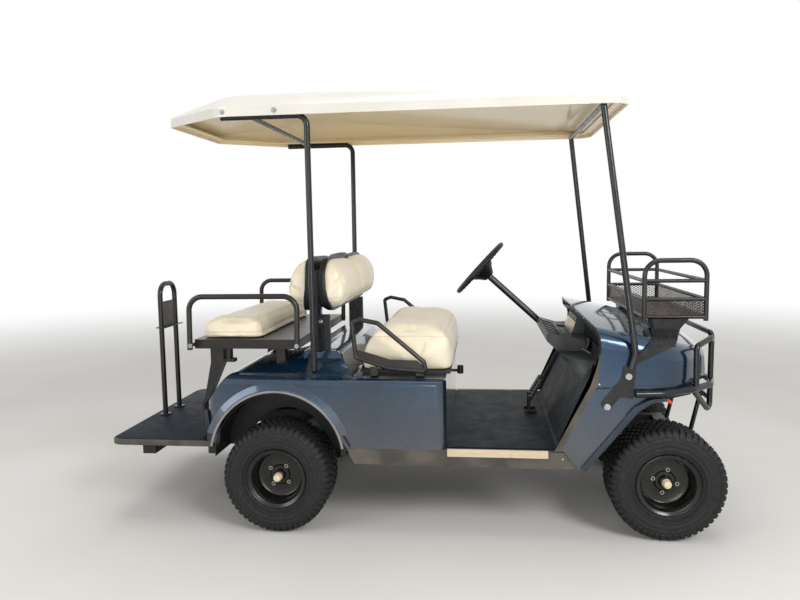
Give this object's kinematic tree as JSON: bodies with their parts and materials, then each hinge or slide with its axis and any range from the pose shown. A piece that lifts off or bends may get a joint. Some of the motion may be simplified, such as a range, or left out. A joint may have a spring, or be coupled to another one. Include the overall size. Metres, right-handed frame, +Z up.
{
  "type": "golf cart",
  "caption": "Four-seat golf cart with a canopy roof, rear-facing bench with foot platform, front basket and brush guard",
  "frame": {"origin": "on the ground under the middle of the cart's bounding box", "axes": "+X forward, +Y to the cart's left (driver's side), +Z up"},
  "size_m": [2.7298, 1.225, 1.9353],
  "materials": {
    "tyre": "matt black rubber",
    "wheel_steel": "satin black paint",
    "chassis_steel": "black powder coat",
    "bright_steel": "zinc plated",
    "engine_casting": "bare casting",
    "body_plastic": "metallic dark blue",
    "dark_plastic": "grained dark grey",
    "floor_rubber": "ribbed mat",
    "scuff_metal": "satin",
    "pedal_metal": "black",
    "seat_vinyl": "cream vinyl",
    "seat_board": "painted board",
    "powder_coat": "satin brown-black powder coat",
    "roof_plastic": "off-white, gloss"
  },
  "bodies": {
    "chassis": {"frame": "chassis_steel", "rear_axle": "chassis_steel", "front_axle": "chassis_steel", "seat_supports": "chassis_steel", "engine": "engine_casting", "rear_body": "body_plastic", "front_cowl": "body_plastic", "front_fenders": "body_plastic", "rear_valance": "dark_plastic", "sills": "dark_plastic", "dash": "dark_plastic", "backrest_shells": "dark_plastic", "steering_column": "dark_plastic", "floor": "floor_rubber", "foot_platform": "floor_rubber", "scuff_strips": "scuff_metal", "controls": "pedal_metal", "front_backrest": "seat_vinyl", "rear_backrest": "seat_vinyl", "rear_seat_cushion": "seat_vinyl", "rear_seat_frame": "powder_coat", "armrests": "powder_coat", "grab_bar": "powder_coat", "front_struts": "powder_coat", "rear_struts": "powder_coat", "basket": "powder_coat", "basket_bracket": "powder_coat", "brush_guard": "powder_coat", "seat_hinges": "powder_coat", "roof": "roof_plastic"},
    "steering_wheel_body": {"steering_wheel": "dark_plastic"},
    "knuckle_left_body": {"knuckle_left": "chassis_steel"},
    "knuckle_right_body": {"knuckle_right": "chassis_steel"},
    "tie_rod_body": {"tie_rod": "bright_steel"},
    "front_wheel_left": {"tyre_front_left": "tyre", "wheel_front_left": "wheel_steel"},
    "front_wheel_right": {"tyre_front_right": "tyre", "wheel_front_right": "wheel_steel"},
    "rear_wheel_left": {"tyre_rear_left": "tyre", "wheel_rear_left": "wheel_steel"},
    "rear_wheel_right": {"tyre_rear_right": "tyre", "wheel_rear_right": "wheel_steel"},
    "seat_lid": {"seat_board": "seat_board", "seat_cushion": "seat_vinyl", "hip_restraints": "powder_coat"}
  },
  "joints": [
    {"name": "steering", "type": "hinge", "parent": "chassis", "child": "steering_wheel_body", "pos_m": [0.335, 0.262, 1.112], "axis": [-0.7373, 0, 0.6756], "range_deg": [-350, 350]},
    {"name": "knuckle_left_turn", "type": "hinge", "parent": "chassis", "child": "knuckle_left_body", "pos_m": [1.113, 0.33, 0.24], "axis": [0, 0, 1], "range_deg": [-26, 26]},
    {"name": "knuckle_right_turn", "type": "hinge", "parent": "chassis", "child": "knuckle_right_body", "pos_m": [1.113, -0.33, 0.24], "axis": [0, 0, 1], "range_deg": [-26, 26]},
    {"name": "tie_rod_slide", "type": "slide", "parent": "chassis", "child": "tie_rod_body", "axis": [0, 1, 0], "range_m": [-0.051, 0.051]},
    {"name": "front_left_spin", "type": "hinge", "parent": "knuckle_left_body", "child": "front_wheel_left", "pos_m": [1.113, 0.456, 0.24], "axis": [0, 1, 0], "continuous": true},
    {"name": "front_right_spin", "type": "hinge", "parent": "knuckle_right_body", "child": "front_wheel_right", "pos_m": [1.113, -0.456, 0.24], "axis": [0, 1, 0], "continuous": true},
    {"name": "rear_left_spin", "type": "hinge", "parent": "chassis", "child": "rear_wheel_left", "pos_m": [-0.551, 0.5, 0.24], "axis": [0, 1, 0], "continuous": true},
    {"name": "rear_right_spin", "type": "hinge", "parent": "chassis", "child": "rear_wheel_right", "pos_m": [-0.551, -0.5, 0.24], "axis": [0, 1, 0], "continuous": true},
    {"name": "seat_lift", "type": "hinge", "parent": "chassis", "child": "seat_lid", "pos_m": [-0.213, 0, 0.6898], "axis": [0, -1, 0], "range_deg": [0, 35]}
  ],
  "couplings": [
    {"joint": "knuckle_left_turn", "follows": "steering", "ratio": 0.071429},
    {"joint": "knuckle_right_turn", "follows": "steering", "ratio": 0.071429},
    {"joint": "tie_rod_slide", "follows": "steering", "m_per_rad": -0.008}
  ]
}
